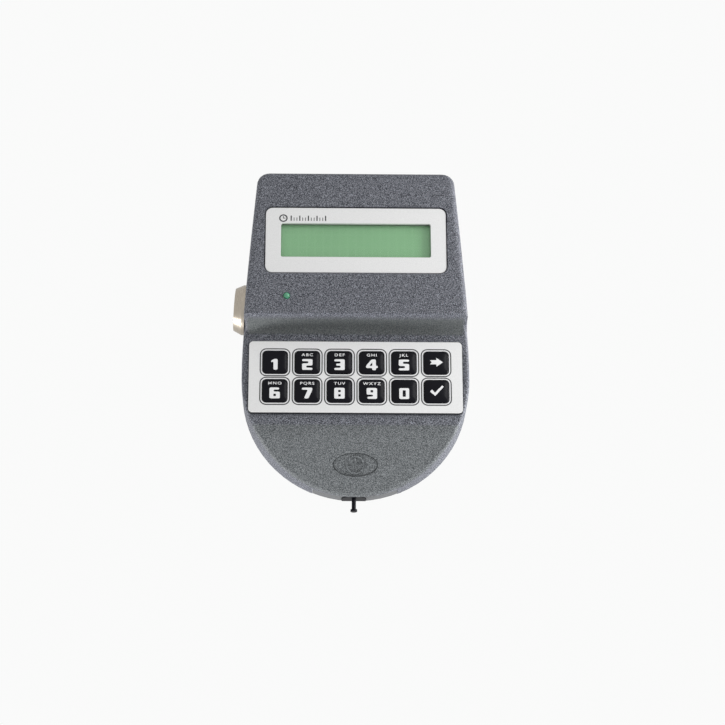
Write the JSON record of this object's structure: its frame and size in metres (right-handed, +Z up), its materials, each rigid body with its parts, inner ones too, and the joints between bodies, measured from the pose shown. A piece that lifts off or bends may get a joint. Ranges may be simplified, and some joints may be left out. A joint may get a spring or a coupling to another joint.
{
  "type": "punch time clock",
  "caption": "Wall-mounted time clock terminal with sloping character display, twelve-key push keypad, side touch-key reader and spring release plunger.",
  "frame": {"origin": "centre of the four wall screw holes, on the back face of the base plate", "axes": "+Z up the wall, +Y into the wall (the front faces -Y), +X to the right as seen by a user"},
  "size_m": [0.1019, 0.0293, 0.1499],
  "materials": {
    "shell": "moulded ABS, fine spark texture, dark grey",
    "base": "moulded ABS, smoother, dark grey",
    "silver_plate": "printed polyester film, satin silver",
    "clear_window": "clear acrylic",
    "black_steel": "black painted steel",
    "lcd_green": "green-yellow reflective liquid crystal glass",
    "diffuser": "white light guide",
    "circuit_board": "green solder mask",
    "chip_black": "black moulding",
    "steel": "zinc-plated",
    "led_green": "tinted clear epoxy",
    "carrier_black": "black ABS",
    "dome_steel": "sprung stainless steel",
    "cable_grey": "PVC ribbon",
    "can_steel": "drawn steel can",
    "capacitor_sleeve": "shrink sleeve",
    "terminal_green": "green polyamide",
    "battery_sleeve": "green shrink sleeve",
    "wire_red": "red PVC",
    "reader_nickel": "satin nickel-plated, turned",
    "plunger_black": "black acetal",
    "key_black": "glossy black, crowned"
  },
  "bodies": {
    "housing": {"front_shell": "shell", "base_plate": "base", "oval_badge": "shell", "display_plate": "silver_plate", "display_window": "clear_window", "lcd_frame": "black_steel", "lcd_glass": "lcd_green", "lcd_backlight": "diffuser", "lcd_board": "circuit_board", "lcd_chips": "chip_black", "lcd_screws": "steel", "led": "led_green", "led_holder": "chip_black", "keypad_carrier": "carrier_black", "keypad_overlay": "silver_plate", "key_domes": "dome_steel", "keypad_board": "circuit_board", "keypad_screws": "steel", "keypad_cable": "cable_grey", "lcd_cable": "cable_grey", "board_headers": "chip_black", "main_board": "circuit_board", "processor": "chip_black", "memory_chips": "chip_black", "crystal": "can_steel", "capacitors": "capacitor_sleeve", "voltage_regulator": "chip_black", "terminal_block": "terminal_green", "buzzer": "chip_black", "coin_cell": "can_steel", "coin_cell_holder": "chip_black", "battery_pack": "battery_sleeve", "battery_leads": "wire_red", "board_screws": "steel", "reader_collar": "reader_nickel", "reader_insulator": "chip_black", "reader_spring": "steel", "reader_nut": "steel", "reader_wires": "wire_red", "plunger_bush": "plunger_black", "plunger_spring": "steel"},
    "key_1": {"key_1": "key_black"},
    "key_2": {"key_2": "key_black"},
    "key_3": {"key_3": "key_black"},
    "key_4": {"key_4": "key_black"},
    "key_5": {"key_5": "key_black"},
    "key_arrow": {"key_arrow": "key_black"},
    "key_6": {"key_6": "key_black"},
    "key_7": {"key_7": "key_black"},
    "key_8": {"key_8": "key_black"},
    "key_9": {"key_9": "key_black"},
    "key_0": {"key_0": "key_black"},
    "key_check": {"key_check": "key_black"},
    "reader_contact": {"reader_contact": "reader_nickel"},
    "release_plunger": {"release_plunger": "plunger_black", "plunger_clip": "steel"}
  },
  "joints": [
    {"name": "key_1_press", "type": "slide", "parent": "housing", "child": "key_1", "axis": [0, 0.9959, -0.0906], "range_m": [0, 0.0008], "stiffness_N_per_m": 900, "springref_m": -0.0006, "deforming": ["key_domes"]},
    {"name": "key_2_press", "type": "slide", "parent": "housing", "child": "key_2", "axis": [0, 0.9959, -0.0906], "range_m": [0, 0.0008], "stiffness_N_per_m": 900, "springref_m": -0.0006, "deforming": ["key_domes"]},
    {"name": "key_3_press", "type": "slide", "parent": "housing", "child": "key_3", "axis": [0, 0.9959, -0.0906], "range_m": [0, 0.0008], "stiffness_N_per_m": 900, "springref_m": -0.0006, "deforming": ["key_domes"]},
    {"name": "key_4_press", "type": "slide", "parent": "housing", "child": "key_4", "axis": [0, 0.9959, -0.0906], "range_m": [0, 0.0008], "stiffness_N_per_m": 900, "springref_m": -0.0006, "deforming": ["key_domes"]},
    {"name": "key_5_press", "type": "slide", "parent": "housing", "child": "key_5", "axis": [0, 0.9959, -0.0906], "range_m": [0, 0.0008], "stiffness_N_per_m": 900, "springref_m": -0.0006, "deforming": ["key_domes"]},
    {"name": "key_arrow_press", "type": "slide", "parent": "housing", "child": "key_arrow", "axis": [0, 0.9959, -0.0906], "range_m": [0, 0.0008], "stiffness_N_per_m": 900, "springref_m": -0.0006, "deforming": ["key_domes"]},
    {"name": "key_6_press", "type": "slide", "parent": "housing", "child": "key_6", "axis": [0, 0.9959, -0.0906], "range_m": [0, 0.0008], "stiffness_N_per_m": 900, "springref_m": -0.0006, "deforming": ["key_domes"]},
    {"name": "key_7_press", "type": "slide", "parent": "housing", "child": "key_7", "axis": [0, 0.9959, -0.0906], "range_m": [0, 0.0008], "stiffness_N_per_m": 900, "springref_m": -0.0006, "deforming": ["key_domes"]},
    {"name": "key_8_press", "type": "slide", "parent": "housing", "child": "key_8", "axis": [0, 0.9959, -0.0906], "range_m": [0, 0.0008], "stiffness_N_per_m": 900, "springref_m": -0.0006, "deforming": ["key_domes"]},
    {"name": "key_9_press", "type": "slide", "parent": "housing", "child": "key_9", "axis": [0, 0.9959, -0.0906], "range_m": [0, 0.0008], "stiffness_N_per_m": 900, "springref_m": -0.0006, "deforming": ["key_domes"]},
    {"name": "key_0_press", "type": "slide", "parent": "housing", "child": "key_0", "axis": [0, 0.9959, -0.0906], "range_m": [0, 0.0008], "stiffness_N_per_m": 900, "springref_m": -0.0006, "deforming": ["key_domes"]},
    {"name": "key_check_press", "type": "slide", "parent": "housing", "child": "key_check", "axis": [0, 0.9959, -0.0906], "range_m": [0, 0.0008], "stiffness_N_per_m": 900, "springref_m": -0.0006, "deforming": ["key_domes"]},
    {"name": "reader_contact_press", "type": "slide", "parent": "housing", "child": "reader_contact", "axis": [0.9981, 0, -0.0617], "range_m": [0, 0.001], "stiffness_N_per_m": 700, "springref_m": -0.001, "deforming": ["reader_spring"]},
    {"name": "release_pull", "type": "slide", "parent": "housing", "child": "release_plunger", "axis": [0, 0, -1], "range_m": [0, 0.004], "stiffness_N_per_m": 500, "springref_m": -0.002, "deforming": ["plunger_spring"]}
  ]
}
